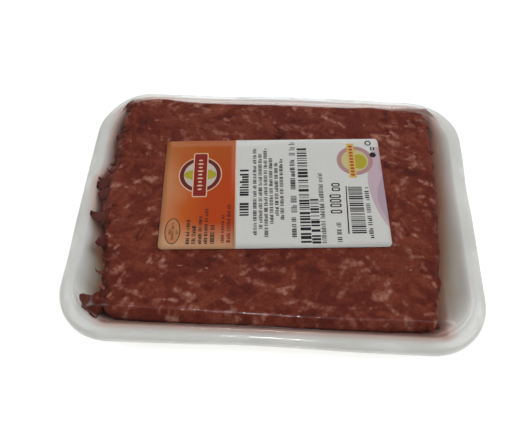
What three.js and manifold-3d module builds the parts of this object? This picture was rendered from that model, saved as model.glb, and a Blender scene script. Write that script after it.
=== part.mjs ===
// An overwrapped tray of minced meat: a white foam tray with a rolled lip, a block of mince that
// stands a little over it, clear stretch film drawn over both and tucked under the base, and a
// paper label stuck on the film. Millimetres, +Z up. The origin is the middle of the base, the
// tray's long sides run along X and its front side is at -Y.
import * as THREE from 'three';
import { mergeVertices } from 'three/addons/utils/BufferGeometryUtils.js';
import Module from 'manifold-3d';

const wasm = await Module();
wasm.setup();

// Driving dimensions
const PACK_LENGTH = 178;
const PACK_WIDTH = 133;
const RIM_HEIGHT = 25;
const FILM_TOP = 29.9; // the film's level over the mince
const CORNER_RADIUS = 24;
const FOAM_THICKNESS = 3.5;
const FILM_THICKNESS = 0.25;
const LABEL_THICKNESS = 0.25;
const CLEARANCE = 0.3;
const LABEL_LENGTH = 99;
const LABEL_WIDTH = 58;

// What follows from them
const HALF_LENGTH = PACK_LENGTH / 2;
const HALF_WIDTH = PACK_WIDTH / 2;
const SKIN = FILM_THICKNESS + CLEARANCE; // from the film's outside to what lies in it
const TRAY_TOP = RIM_HEIGHT - SKIN;
const TRAY_FLOOR = SKIN + FOAM_THICKNESS;
const MEAT_BASE = TRAY_FLOOR + CLEARANCE;

// How finely the rounded rectangles are cut
const CORNER_STEPS = 5;
const LONG_STEPS = 8;
const SHORT_STEPS = 6;

// The rounded rectangle's corners, counter-clockwise from the back right one
const CORNERS = [[1, 1], [-1, 1], [-1, -1], [1, -1]];

// Places where the film's pull has pressed the rim inwards: direction in degrees, depth and reach
const RIM_DENTS = [[12, 0.5, 9], [52, 0.9, 12], [107, 0.6, 10], [139, 0.9, 7], [205, 0.4, 9], [266, 1, 20]];
const RIM_DENT_FADE = 16; // the inset at which a dent has died out
const RIM_LIFT = 0.7; // how much the middle of the back rim is pushed up

// The block of mince: its edges at the top. Both ends slant, and the left one is torn.
const MEAT_FRONT = -57.6;
const MEAT_BACK = 56.3;
const MEAT_LEFT = [-66.5, -77]; // at the front and at the back
const MEAT_RIGHT = [69, 73.5];
const MEAT_EDGE_RADIUS = 2.2;

// Where the mince swells over the back of the lip: place along X, distance and reach
const BACK_SWELLS = [[-60, 1.9, 12], [45, 0.7, 6], [66, 1.1, 8]];

function clamp(value, low, high) {
  return Math.min(Math.max(value, low), high);
}

function lerp(a, b, t) {
  return a + (b - a) * t;
}

function smoothMin(a, b, blend) {
  const overlap = Math.max(blend - Math.abs(a - b), 0);
  return Math.min(a, b) - (overlap * overlap) / (4 * blend);
}

// A repeatable source of chance
function makeRandom(seed) {
  let state = seed;
  return () => {
    state = (state * 1664525 + 1013904223) % 4294967296;
    return state / 4294967296;
  };
}

function hash(x, y) {
  const wave = Math.sin(x * 127.1 + y * 311.7) * 43758.5453;
  return wave - Math.floor(wave);
}

// Smooth noise from 0 to 1 over a lattice of unit cells
function noise(x, y) {
  const x0 = Math.floor(x);
  const y0 = Math.floor(y);
  const u = THREE.MathUtils.smoothstep(x - x0, 0, 1);
  const v = THREE.MathUtils.smoothstep(y - y0, 0, 1);
  const front = lerp(hash(x0, y0), hash(x0 + 1, y0), u);
  const back = lerp(hash(x0, y0 + 1), hash(x0 + 1, y0 + 1), u);
  return lerp(front, back, v);
}

// Rounded rectangles

// Each station is a place on any rounded rectangle: an angle on a corner's arc, or a share of the
// straight side that follows the corner.
function makeStations() {
  const stations = [];
  CORNERS.forEach((_, corner) => {
    for (let k = 0; k <= CORNER_STEPS; k++) {
      stations.push({ corner, angle: (corner + k / CORNER_STEPS) * Math.PI / 2, along: 0 });
    }
    const steps = corner % 2 === 0 ? LONG_STEPS : SHORT_STEPS;
    for (let k = 1; k < steps; k++) {
      stations.push({ corner, angle: (corner + 1) * Math.PI / 2, along: k / steps });
    }
  });
  return stations;
}

function arcPoint(corner, angle, halfX, halfY, radius) {
  const [signX, signY] = CORNERS[corner % 4];
  return new THREE.Vector2(
    signX * (halfX - radius) + radius * Math.cos(angle),
    signY * (halfY - radius) + radius * Math.sin(angle),
  );
}

function stationPoint(station, halfX, halfY, radius) {
  const start = arcPoint(station.corner, station.angle, halfX, halfY, radius);
  if (station.along === 0) return start;
  const end = arcPoint(station.corner + 1, station.angle, halfX, halfY, radius);
  return start.lerp(end, station.along);
}

const STATIONS = makeStations();

// The direction of a point as seen from the middle, with the pack's own proportions
function bearing(x, y) {
  const degrees = THREE.MathUtils.radToDeg(Math.atan2(y / PACK_WIDTH, x / PACK_LENGTH));
  return (degrees + 360) % 360;
}

function rimDent(degrees) {
  const dents = RIM_DENTS.map(([at, depth, reach]) => depth * Math.exp(-(((degrees - at) / reach) ** 2)));
  return dents.reduce((sum, dent) => sum + dent, 0);
}

function rimLift(degrees) {
  return RIM_LIFT * Math.exp(-(((degrees - 89) / 16) ** 2));
}

// A point of the pack at an inset from the rim's outline, with the rim's dents and lift
function packPoint(station, inset, z) {
  const radius = Math.max(CORNER_RADIUS - inset * 0.5, Math.min(6, HALF_WIDTH - inset));
  const rim = stationPoint(station, HALF_LENGTH, HALF_WIDTH, CORNER_RADIUS);
  const degrees = bearing(rim.x, rim.y);
  const fade = clamp(1 - inset / RIM_DENT_FADE, 0, 1);
  const dented = inset + rimDent(degrees) * fade;
  const at = stationPoint(station, HALF_LENGTH - dented, HALF_WIDTH - dented, radius);
  const high = clamp((z - RIM_HEIGHT / 2) / (RIM_HEIGHT / 2), 0, 1);
  return new THREE.Vector3(at.x, at.y, z + rimLift(degrees) * fade * high);
}

// How far the mince and the film over it swell backwards at a place along X
function backSwell(x) {
  const swells = BACK_SWELLS.map(([at, distance, reach]) => distance * Math.exp(-(((x - at) / reach) ** 2)));
  return swells.reduce((sum, swell) => sum + swell, 0);
}

// Closed surfaces

// Joins rings of equal count into a closed surface, with a fan over the first and the last ring.
function loft(rings) {
  const count = rings[0].length;
  const points = rings.flat();
  const index = [];
  for (let ring = 0; ring + 1 < rings.length; ring++) {
    for (let k = 0; k < count; k++) {
      const next = (k + 1) % count;
      const a = ring * count + k;
      const b = ring * count + next;
      const c = (ring + 1) * count + k;
      const d = (ring + 1) * count + next;
      index.push(a, b, d, a, d, c);
    }
  }
  const middle = (ring) => ring
    .reduce((sum, point) => sum.add(point), new THREE.Vector3())
    .divideScalar(count);
  const last = (rings.length - 1) * count;
  const firstMiddle = points.push(middle(rings[0])) - 1;
  const lastMiddle = points.push(middle(rings[rings.length - 1])) - 1;
  for (let k = 0; k < count; k++) {
    const next = (k + 1) % count;
    index.push(firstMiddle, next, k);
    index.push(lastMiddle, last + k, last + next);
  }
  return closedGeometry(points, index);
}

// A geometry of these points and triangles, turned so that its faces point outwards
function closedGeometry(points, index) {
  let volume = 0;
  for (let k = 0; k < index.length; k += 3) {
    const [a, b, c] = [points[index[k]], points[index[k + 1]], points[index[k + 2]]];
    volume += a.dot(new THREE.Vector3().crossVectors(b, c)) / 6;
  }
  const facing = volume < 0 ? index.toReversed() : index;
  const geometry = new THREE.BufferGeometry().setFromPoints(points);
  geometry.setIndex(facing);
  geometry.computeVertexNormals();
  return geometry;
}

function toSolid(geometry) {
  const bare = geometry.clone();
  bare.deleteAttribute('normal');
  const merged = mergeVertices(bare, 1e-4);
  return new wasm.Manifold(new wasm.Mesh({
    numProp: 3,
    vertProperties: merged.attributes.position.array,
    triVerts: new Uint32Array(merged.index.array),
  }));
}

function toGeometry(solid) {
  const mesh = solid.getMesh();
  const geometry = new THREE.BufferGeometry();
  geometry.setAttribute('position', new THREE.BufferAttribute(mesh.vertProperties.slice(), 3));
  geometry.setIndex(new THREE.BufferAttribute(mesh.triVerts.slice(), 1));
  geometry.computeVertexNormals();
  return geometry;
}

// The foam tray

// Half of the tray's section as insets from the pack's outline and heights: along the floor, up
// the inner wall, over the lip, down the outer wall and under the base.
const LIP_INSET = 8.8; // where the inner wall's line meets the height of the lip's top
const WALL_LEAN = 0.38; // how far the wall leans in for each millimetre down
const FLOOR_CURVE_TOP = 8.8;

function wallInset(start, z) {
  return start + (TRAY_TOP - z) * WALL_LEAN;
}

function traySection() {
  const lipBottom = 19.2;
  const floorCorner = wallInset(LIP_INSET, TRAY_FLOOR);
  const section = new THREE.Path();
  section.moveTo(floorCorner + 4.5, TRAY_FLOOR);
  section.quadraticCurveTo(floorCorner, TRAY_FLOOR, wallInset(LIP_INSET, FLOOR_CURVE_TOP), FLOOR_CURVE_TOP);
  section.lineTo(wallInset(LIP_INSET, 21.3), 21.3);
  section.quadraticCurveTo(LIP_INSET + 0.2, TRAY_TOP, 7.2, TRAY_TOP);
  section.lineTo(5.9, TRAY_TOP);
  section.quadraticCurveTo(SKIN + 0.1, TRAY_TOP, SKIN, 21.6);
  section.quadraticCurveTo(SKIN, lipBottom, 3.2, lipBottom);
  const outer = LIP_INSET - FOAM_THICKNESS + 0.4;
  section.lineTo(wallInset(outer, 17.6), 17.6);
  section.lineTo(wallInset(outer, 4), 4);
  section.quadraticCurveTo(wallInset(outer, SKIN), SKIN, 19, SKIN);
  section.lineTo(25, SKIN);
  section.lineTo(27, SKIN + 1.4);
  return section;
}

const TRAY_SECTION = traySection().getPoints(3);

function trayGeometry() {
  const rings = TRAY_SECTION.map(({ x, y }) => STATIONS.map((station) => packPoint(station, x, y)));
  return loft(rings);
}

// The inner wall's inset at a height: its line, or the section's curve near the floor
function innerInset(z) {
  if (z >= FLOOR_CURVE_TOP) return wallInset(LIP_INSET, z);
  const k = Math.max(TRAY_SECTION.findIndex((point) => point.y > z), 1);
  const [low, high] = [TRAY_SECTION[k - 1], TRAY_SECTION[k]];
  return lerp(low.x, high.x, clamp((z - low.y) / (high.y - low.y), 0, 1));
}

// The film

const FILM_CREST = 6.8; // the inset at which the film leaves the lip for the meat
const FILM_RAMPS = { left: 10, right: 12.5, front: 4.8, back: 5 }; // each slope's length
const STEEPER_AT_SWELL = 1.1; // how much the back slope shortens for each millimetre of swell
const CREST_FADE = 1 - FILM_CREST / RIM_DENT_FADE;

// The height of the film's outside over the meat and the gap around it: taut slopes that rise from
// the lip on four sides to a gently waved top.
function filmHeight(x, y) {
  const waves = 0.3 * Math.sin(x / 24 + 0.7) * Math.cos(y / 20 - 0.4) + 0.15 * Math.sin((x + 2 * y) / 33);
  const crest = RIM_HEIGHT + rimLift(bearing(x, y)) * CREST_FADE;
  const rise = FILM_TOP - RIM_HEIGHT + 0.6;
  const ramp = (distance, reach) => crest + (rise * distance) / reach;
  const slopes = [
    ramp(x + HALF_LENGTH - FILM_CREST, FILM_RAMPS.left),
    ramp(HALF_LENGTH - FILM_CREST - x, FILM_RAMPS.right),
    ramp(y + HALF_WIDTH - FILM_CREST, FILM_RAMPS.front),
    ramp(HALF_WIDTH - FILM_CREST - y, FILM_RAMPS.back - STEEPER_AT_SWELL * backSwell(x)),
  ];
  return slopes.reduce((height, slope) => smoothMin(height, slope, 1.6), FILM_TOP + waves);
}

// The film's outer face from the lip's crest down to the slot under the base
function filmSection() {
  const section = new THREE.Path();
  section.moveTo(FILM_CREST, RIM_HEIGHT);
  section.quadraticCurveTo(0.1, RIM_HEIGHT, 0, 21.7);
  section.quadraticCurveTo(0, 20, 0.7, 18.6);
  section.lineTo(14.2, 1);
  section.quadraticCurveTo(15, 0, 17.5, 0);
  return section.getPoints(3);
}

// How far the film's slope reaches inwards at a station, between its sides' values at a corner
function slopeReach(station) {
  const [outX, outY] = [Math.cos(station.angle), Math.sin(station.angle)];
  const reachX = outX > 0 ? FILM_RAMPS.right : FILM_RAMPS.left;
  const reachY = outY > 0 ? FILM_RAMPS.back : FILM_RAMPS.front;
  return reachX * outX ** 2 + reachY * outY ** 2;
}

// A ring of the film's top at an inset that may differ from station to station
function filmRing(insetAt, lower) {
  return STATIONS.map((station) => {
    const point = packPoint(station, insetAt(station), RIM_HEIGHT);
    point.z = filmHeight(point.x, point.y) - lower;
    return point;
  });
}

// The folded edges of the film meet in a long seam under the base.
function seamRing(z) {
  return STATIONS.map((station) => {
    const point = stationPoint(station, 46, 0.8, 0.7);
    return new THREE.Vector3(point.x, point.y, z);
  });
}

function filmGeometry() {
  const slopeShares = [1.6, 1.2, 0.9, 0.5];
  const topRings = [
    () => 50,
    () => 32,
    ...slopeShares.map((share) => (station) => FILM_CREST + share * slopeReach(station)),
  ];
  const outside = filmSection();
  const normals = outside.map((point, k) => {
    const before = outside[Math.max(k - 1, 0)];
    const after = outside[Math.min(k + 1, outside.length - 1)];
    const along = after.clone().sub(before).normalize();
    return new THREE.Vector2(-along.y, along.x);
  });
  normals[0].set(0, -1);
  normals[normals.length - 1].set(0, 1);
  const shell = (thickness) => outside.map((point, k) => {
    const side = normals[k].x > 0 || normals[k].y > 0 || k === 0 ? 1 : -1;
    const moved = point.clone().addScaledVector(normals[k], thickness * side);
    return STATIONS.map((station) => packPoint(station, moved.x, moved.y));
  });
  return loft([
    ...topRings.map((insetAt) => filmRing(insetAt, 0)),
    ...shell(0),
    seamRing(0),
    seamRing(FILM_THICKNESS),
    ...shell(FILM_THICKNESS).reverse(),
    ...topRings.map((insetAt) => filmRing(insetAt, FILM_THICKNESS)).reverse(),
  ]);
}

// The label

const LABEL_MIDDLE = new THREE.Vector2(-0.6, 3.5);
const LABEL_TURN = THREE.MathUtils.degToRad(3.4);

// A point of the label's underside or face, at a share of its length and width
function labelPoint(u, v, lift) {
  const flat = new THREE.Vector2((u - 0.5) * LABEL_LENGTH, (v - 0.5) * LABEL_WIDTH);
  flat.rotateAround(new THREE.Vector2(), LABEL_TURN).add(LABEL_MIDDLE);
  return new THREE.Vector3(flat.x, flat.y, filmHeight(flat.x, flat.y) + CLEARANCE + lift);
}

function labelGeometry() {
  const columns = 10;
  const rows = 6;
  const points = [];
  const index = [];
  for (const lift of [0, LABEL_THICKNESS]) {
    for (let j = 0; j <= rows; j++) {
      for (let i = 0; i <= columns; i++) points.push(labelPoint(i / columns, j / rows, lift));
    }
  }
  const at = (i, j, layer) => (layer * (rows + 1) + j) * (columns + 1) + i;
  const quad = (a, b, c, d) => index.push(a, b, c, a, c, d);
  for (let j = 0; j < rows; j++) {
    for (let i = 0; i < columns; i++) {
      quad(at(i, j, 1), at(i + 1, j, 1), at(i + 1, j + 1, 1), at(i, j + 1, 1));
      quad(at(i, j, 0), at(i, j + 1, 0), at(i + 1, j + 1, 0), at(i + 1, j, 0));
    }
  }
  for (let i = 0; i < columns; i++) {
    quad(at(i, 0, 0), at(i + 1, 0, 0), at(i + 1, 0, 1), at(i, 0, 1));
    quad(at(i + 1, rows, 0), at(i, rows, 0), at(i, rows, 1), at(i + 1, rows, 1));
  }
  for (let j = 0; j < rows; j++) {
    quad(at(0, j + 1, 0), at(0, j, 0), at(0, j, 1), at(0, j + 1, 1));
    quad(at(columns, j, 0), at(columns, j + 1, 0), at(columns, j + 1, 1), at(columns, j, 1));
  }
  return closedGeometry(points, index);
}

// The mince

const MEAT_COLUMNS = 32;
const MEAT_ROWS = 24;
const UNDER_FILM = FILM_THICKNESS + CLEARANCE + 0.25; // from the film's outside to the highest mince
const OFF_WALL = 0.7; // the least gap between the mince and the tray's wall
const STRAND_RADIUS = 1.8;
const STRAND_FLATTENING = 0.65; // how far the film has pressed the upper strands flat

function meatLeft(y) {
  return lerp(...MEAT_LEFT, clamp((y + 50) / 75, 0, 1));
}

function meatRight(y) {
  return lerp(...MEAT_RIGHT, clamp((y + 50) / 60, 0, 1));
}

// Moves a point of the meat inwards until it is clear of the tray's wall at its height.
function clearOfTray(point) {
  const wall = innerInset(point.z);
  const fade = clamp(1 - wall / RIM_DENT_FADE, 0, 1);
  const inset = wall + OFF_WALL + rimDent(bearing(point.x, point.y)) * fade;
  const radius = CORNER_RADIUS - inset * 0.5;
  const overX = Math.abs(point.x) - (HALF_LENGTH - inset - radius);
  const overY = Math.abs(point.y) - (HALF_WIDTH - inset - radius);
  const corner = Math.hypot(Math.max(overX, 0), Math.max(overY, 0)) + 0.25; // more, for flat facets
  if (overX > 0 && overY > 0 && corner > radius) {
    point.x -= Math.sign(point.x) * overX * (1 - radius / corner);
    point.y -= Math.sign(point.y) * overY * (1 - radius / corner);
  } else if (overX > radius) {
    point.x -= Math.sign(point.x) * (overX - radius);
  } else if (overY > radius) {
    point.y -= Math.sign(point.y) * (overY - radius);
  }
  return point;
}

// A point of the meat's outline, from shares u and v that run from -1 to 1 over its top
function meatPlan(u, v) {
  const edge = Math.max(Math.abs(u), Math.abs(v)) ** 8;
  const y = lerp(MEAT_FRONT, MEAT_BACK, (v * (1 - 0.05 * u ** 8) + 1) / 2);
  const left = meatLeft(y);
  const x = lerp(left, meatRight(y), (u * (1 - 0.04 * v ** 8) + 1) / 2);
  const crag = (noise(x / 6 + 31, y / 6 + 17) - 0.6) * 2 * edge;
  const swell = backSwell(x) * clamp(v, 0, 1) ** 6;
  return new THREE.Vector2(x + crag * u, y + crag * v * 0.4 + swell);
}

// The shares u and v at a place, near enough for the block's height
function meatShares(x, y) {
  const left = meatLeft(y);
  const u = (2 * (x - left)) / (meatRight(y) - left) - 1;
  const v = (2 * (y - MEAT_FRONT)) / (MEAT_BACK - MEAT_FRONT) - 1;
  return [clamp(u, -1, 1), clamp(v, -1, 1)];
}

function meatTopHeight(x, y, u, v) {
  const relief = 0.25 + 1.1 * noise(x / 6, y / 6) + 0.3 * noise(x / 12 + 5, y / 12);
  const width = (meatRight(y) - meatLeft(y)) / 2;
  const depth = (MEAT_BACK - MEAT_FRONT) / 2;
  const fromEdge = Math.min((1 - Math.abs(u)) * width, (1 - Math.abs(v)) * depth);
  const short = Math.max(MEAT_EDGE_RADIUS - fromEdge, 0);
  const rounding = MEAT_EDGE_RADIUS - Math.sqrt(MEAT_EDGE_RADIUS ** 2 - short ** 2);
  return filmHeight(x, y) - UNDER_FILM - relief - rounding;
}

// The block of mince under the pieces that show: a bumpy top, crumbly sides and a flat base
function meatCoreGeometry() {
  const points = [];
  const index = [];
  const at = (i, j) => j * (MEAT_COLUMNS + 1) + i;
  for (let j = 0; j <= MEAT_ROWS; j++) {
    for (let i = 0; i <= MEAT_COLUMNS; i++) {
      const u = (2 * i) / MEAT_COLUMNS - 1;
      const v = (2 * j) / MEAT_ROWS - 1;
      const { x, y } = meatPlan(u, v);
      points.push(clearOfTray(new THREE.Vector3(x, y, meatTopHeight(x, y, u, v))));
    }
  }
  for (let j = 0; j < MEAT_ROWS; j++) {
    for (let i = 0; i < MEAT_COLUMNS; i++) {
      index.push(at(i, j), at(i + 1, j), at(i + 1, j + 1), at(i, j), at(i + 1, j + 1), at(i, j + 1));
    }
  }
  const rim = [];
  for (let i = 0; i < MEAT_COLUMNS; i++) rim.push(at(i, 0));
  for (let j = 0; j < MEAT_ROWS; j++) rim.push(at(MEAT_COLUMNS, j));
  for (let i = MEAT_COLUMNS; i > 0; i--) rim.push(at(i, MEAT_ROWS));
  for (let j = MEAT_ROWS; j > 0; j--) rim.push(at(0, j));
  let above = rim;
  for (const share of [0.72, 0.45, 0.2, 0]) {
    const below = rim.map((top, k) => {
      const start = points[top];
      const bulge = 1 + (noise(k / 2.2, share * 9) - 0.45) * 0.035;
      const z = lerp(MEAT_BASE, start.z, share);
      return points.push(clearOfTray(new THREE.Vector3(start.x * bulge, start.y * bulge, z))) - 1;
    });
    for (let k = 0; k < rim.length; k++) {
      const next = (k + 1) % rim.length;
      index.push(below[k], below[next], above[next], below[k], above[next], above[k]);
    }
    above = below;
  }
  const middle = points.push(new THREE.Vector3(0, 0, MEAT_BASE)) - 1;
  for (let k = 0; k < rim.length; k++) index.push(middle, above[(k + 1) % rim.length], above[k]);
  return closedGeometry(points, index);
}

// A short strand of mince along a curve, with a section of few sides that narrows at its ends
function strandSolid(curve, radius, flattening, steps, taper) {
  const sides = 6;
  const rings = [];
  for (let k = 0; k <= steps; k++) {
    const t = k / steps;
    const centre = curve.getPoint(t);
    const along = curve.getTangent(t);
    const across = new THREE.Vector3(-along.y, along.x, 0).normalize();
    const size = radius * taper(t);
    rings.push(Array.from({ length: sides }, (_, side) => {
      const angle = (side / sides) * 2 * Math.PI;
      return centre.clone()
        .addScaledVector(across, size * Math.cos(angle))
        .add(new THREE.Vector3(0, 0, size * flattening * Math.sin(angle)));
    }));
  }
  return toSolid(loft(rings));
}

const roundedEnds = (t) => 0.45 + 0.55 * Math.sin(Math.PI * clamp(t, 0.12, 0.88));
const pointedEnd = (t) => 1 - 0.85 * t;

// Strands that lie in the meat's top, pressed flat by the film, spread evenly by a jittered lattice.
// Each keeps most of its height sunk in the block.
function topStrands() {
  const random = makeRandom(41);
  const strands = [];
  const columns = 9;
  const rows = 6;
  for (let j = 0; j < rows; j++) {
    for (let i = 0; i < columns; i++) {
      const v = (2 * (j + 0.2 + 0.6 * random())) / rows - 1;
      const u = (2 * (i + 0.2 + 0.6 * random())) / columns - 1;
      const { x, y } = meatPlan(u * 0.93, v * 0.9);
      const heading = random() * Math.PI;
      const bend = (random() - 0.5) * 1.6;
      const length = 8 + 7 * random();
      const radius = STRAND_RADIUS * (0.8 + 0.35 * random());
      const knots = [-0.5, -0.17, 0.17, 0.5].map((share) => {
        const angle = heading + bend * share;
        const knotX = x + Math.cos(angle) * length * share;
        const knotY = y + Math.sin(angle) * length * share;
        const block = meatTopHeight(knotX, knotY, ...meatShares(knotX, knotY));
        const pressed = filmHeight(knotX, knotY) - UNDER_FILM - radius * STRAND_FLATTENING;
        return new THREE.Vector3(knotX, knotY, Math.min(block + 0.25, pressed));
      });
      strands.push(strandSolid(new THREE.CatmullRomCurve3(knots), radius, STRAND_FLATTENING, 3, roundedEnds));
    }
  }
  return strands;
}

// Torn wisps that hang from the left edge towards the tray's lip: where each starts along the
// edge, where its tip lies, and how thick it is at the start
const WISPS = [
  { y: -51, tip: [-75.6, -47.6], radius: 2.8 },
  { y: -37, tip: [-73, -38], radius: 1.2 },
  { y: -26, tip: [-76, -24.5], radius: 2 },
  { y: -12, tip: [-79.2, -7.5], radius: 2.4 },
  { y: 0, tip: [-79, 3.5], radius: 2.4 },
  { y: 8, tip: [-79.2, 12], radius: 2.4 },
  { y: 14, tip: [-78.3, 15.5], radius: 1.3 },
];

function wispStrands() {
  return WISPS.map(({ y, tip, radius }) => {
    const [tipX, tipY] = tip;
    const startX = meatLeft(y) + 4;
    const startZ = filmHeight(startX, y) - UNDER_FILM - radius * 0.5 - 2.4;
    const tipZ = filmHeight(tipX, tipY) - UNDER_FILM - 0.6;
    const curve = new THREE.QuadraticBezierCurve3(
      new THREE.Vector3(startX, y, startZ),
      new THREE.Vector3(lerp(startX, tipX, 0.55), lerp(y, tipY, 0.3), lerp(startZ, tipZ, 0.6)),
      new THREE.Vector3(tipX, tipY, tipZ),
    );
    return strandSolid(curve, radius, 0.45, 4, pointedEnd);
  });
}

function meatGeometry() {
  const pieces = [toSolid(meatCoreGeometry()), ...topStrands(), ...wispStrands()];
  return toGeometry(wasm.Manifold.union(pieces));
}

// Finishes

const FINISHES = {
  foam: new THREE.MeshStandardMaterial({ color: 0xe9e8e3, roughness: 0.6, metalness: 0 }),
  mince: new THREE.MeshStandardMaterial({ color: 0x7c2f24, roughness: 0.45, metalness: 0 }),
  film: new THREE.MeshStandardMaterial({
    color: 0xf4f6f6, roughness: 0.08, metalness: 0, transparent: true, opacity: 0.16,
  }),
  paper: new THREE.MeshStandardMaterial({ color: 0xe4e1db, roughness: 0.5, metalness: 0 }),
};

function namedMesh(name, geometry, finish) {
  const mesh = new THREE.Mesh(geometry, finish);
  mesh.name = name;
  return mesh;
}

const pack = new THREE.Group();
pack.add(
  namedMesh('foam_tray', trayGeometry(), FINISHES.foam),
  namedMesh('minced_meat', meatGeometry(), FINISHES.mince),
  namedMesh('film_wrap', filmGeometry(), FINISHES.film),
  namedMesh('paper_label', labelGeometry(), FINISHES.paper),
);

export default pack;
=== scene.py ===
# Overwrapped tray of minced meat: foam tray, mince, stretch film and paper label
import math

import bpy
import numpy as np
from mathutils import Matrix, Vector
from mathutils.geometry import delaunay_2d_cdt


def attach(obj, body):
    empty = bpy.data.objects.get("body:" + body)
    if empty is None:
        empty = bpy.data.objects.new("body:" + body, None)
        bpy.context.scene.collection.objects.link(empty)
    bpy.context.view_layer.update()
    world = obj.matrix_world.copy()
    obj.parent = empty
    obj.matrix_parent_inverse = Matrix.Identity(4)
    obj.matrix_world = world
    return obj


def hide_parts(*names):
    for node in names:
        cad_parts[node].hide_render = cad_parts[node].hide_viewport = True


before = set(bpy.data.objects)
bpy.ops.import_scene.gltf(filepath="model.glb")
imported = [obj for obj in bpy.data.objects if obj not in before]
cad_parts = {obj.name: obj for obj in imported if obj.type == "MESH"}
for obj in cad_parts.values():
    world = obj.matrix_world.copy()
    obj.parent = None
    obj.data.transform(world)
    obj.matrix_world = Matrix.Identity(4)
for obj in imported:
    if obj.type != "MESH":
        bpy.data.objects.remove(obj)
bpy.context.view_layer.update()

mm = 0.001
scene = bpy.context.scene


# Small tools

def linear(hexColour, alpha=1.0):
    # sRGB hex to the linear values that shaders take
    channels = [int(hexColour[i:i + 2], 16) / 255 for i in (1, 3, 5)]
    return tuple(c / 12.92 if c <= 0.04045 else ((c + 0.055) / 1.055) ** 2.4 for c in channels) + (alpha,)


def newMaterial(name):
    material = bpy.data.materials.new(name)
    material.use_nodes = True
    material.node_tree.nodes.clear()
    return material


def addNode(owner, kind, inputs=None, stops=None, **settings):
    # kind is the shader node's type; an input is set to a number or colour, or linked to an output or to
    # another node's first output
    node = owner.node_tree.nodes.new("ShaderNode" + kind)
    for name, value in settings.items():
        setattr(node, name, value)
    for socket, value in (inputs or {}).items():
        if isinstance(value, bpy.types.Node):
            value = next(output for output in value.outputs if output.enabled)
        if isinstance(value, bpy.types.NodeSocket):
            owner.node_tree.links.new(value, node.inputs[socket])
        else:
            node.inputs[socket].default_value = value
    if stops:
        ramp = node.color_ramp.elements
        while len(ramp) < len(stops):
            ramp.new(0.5)
        for element, (position, colour) in zip(ramp, stops):
            element.position = position
            element.color = colour
    return node


def bell(value, middle, reach):
    # 1 at the middle, falling off to both sides
    return np.exp(-(((value - middle) / reach) ** 2))


def smoothMin(a, b, blend):
    # the lower of two values, rounded where they cross
    overlap = np.maximum(blend - np.abs(a - b), 0)
    return np.minimum(a, b) - overlap ** 2 / (4 * blend)


def smoothStep(low, high, value):
    t = np.clip((value - low) / (high - low), 0, 1)
    return t * t * (3 - 2 * t)


noiseTable = np.random.default_rng(3).random((64, 64))


def noise(x, y, layer=0):
    # smooth noise from 0 to 1 over unit cells
    x = np.asarray(x, float) + 17.3 * layer + 640
    y = np.asarray(y, float) + 29.1 * layer + 640
    x0, y0 = np.floor(x).astype(int), np.floor(y).astype(int)
    u, v = x - x0, y - y0
    u, v = u * u * (3 - 2 * u), v * v * (3 - 2 * v)
    at = lambda i, j: noiseTable[i % 64, j % 64]
    front = at(x0, y0) * (1 - u) + at(x0 + 1, y0) * u
    back = at(x0, y0 + 1) * (1 - u) + at(x0 + 1, y0 + 1) * u
    return front * (1 - v) + back * v


def makePiece(name, points, faces, material, replaces, values=None):
    # points in millimetres; values are what the material reads at each point
    mesh = bpy.data.meshes.new(name)
    mesh.from_pydata((np.asarray(points, float) * mm).tolist(), [], faces)
    mesh.validate()
    mesh.polygons.foreach_set("use_smooth", [True] * len(mesh.polygons))
    for key, numbers in (values or {}).items():
        attribute = mesh.attributes.new(key, "FLOAT", "POINT")
        attribute.data.foreach_set("value", np.asarray(numbers, float))
    mesh.materials.append(material)
    piece = bpy.data.objects.new(name, mesh)
    scene.collection.objects.link(piece)
    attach(piece, "root")
    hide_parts(replaces)
    return piece


def ringFaces(ringCount, count):
    # quads between closed rings of equal count, from a top middle outwards and down, with both ends shut
    ring = np.arange(ringCount - 1)[:, None] * count
    k = np.arange(count)[None, :]
    after = (k + 1) % count
    quads = np.stack([ring + k, ring + count + k, ring + count + after, ring + after], axis=-1)
    last = (ringCount - 1) * count
    return quads.reshape(-1, 4).tolist() + [list(range(count)), list(range(last, last + count))[::-1]]


# The pack's own form, which tray, mince, film and label follow, mm. Dents and lift in the rim: depth or
# height, and where and how wide in degrees round the rim. Swells: place along X, distance and reach.
packShape = {
    "length": 178, "width": 133, "rimHeight": 25, "filmTop": 29.9, "cornerRadius": 24,
    "rimDents": [(12, 0.5, 9), (52, 0.9, 12), (107, 0.6, 10), (139, 0.9, 7), (205, 0.4, 9), (266, 1, 20)],
    "dentFade": 16, "rimLift": (0.7, 89, 16), "filmCrest": 6.8,
    "slopes": {"left": 10, "right": 12.5, "front": 4.8, "back": 5}, "creaseBlend": 1.1,
    "backSwells": [(-60, 1.9, 12), (45, 0.7, 6), (66, 1.1, 8)], "steeperAtSwell": 1.1,
    "cornerSteps": 24, "longSteps": 130, "shortSteps": 96,    # mesh steps round a ring
}
halfLength = packShape["length"] / 2
halfWidth = packShape["width"] / 2
rimHeight = packShape["rimHeight"]
cornerSigns = np.array([(1, 1), (-1, 1), (-1, -1), (1, -1)])


def makeStations():
    # places round a rounded rectangle: corner, angle on its arc, share of the side after it
    rows = []
    for corner in range(4):
        for k in range(packShape["cornerSteps"] + 1):
            rows.append((corner, (corner + k / packShape["cornerSteps"]) * math.pi / 2, 0))
        steps = packShape["longSteps"] if corner % 2 == 0 else packShape["shortSteps"]
        for k in range(1, steps):
            rows.append((corner, (corner + 1) * math.pi / 2, k / steps))
    corner, angle, along = np.array(rows).T
    return corner.astype(int), angle, along


stationCorner, stationAngle, stationAlong = makeStations()
stationCount = len(stationAngle)


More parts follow.
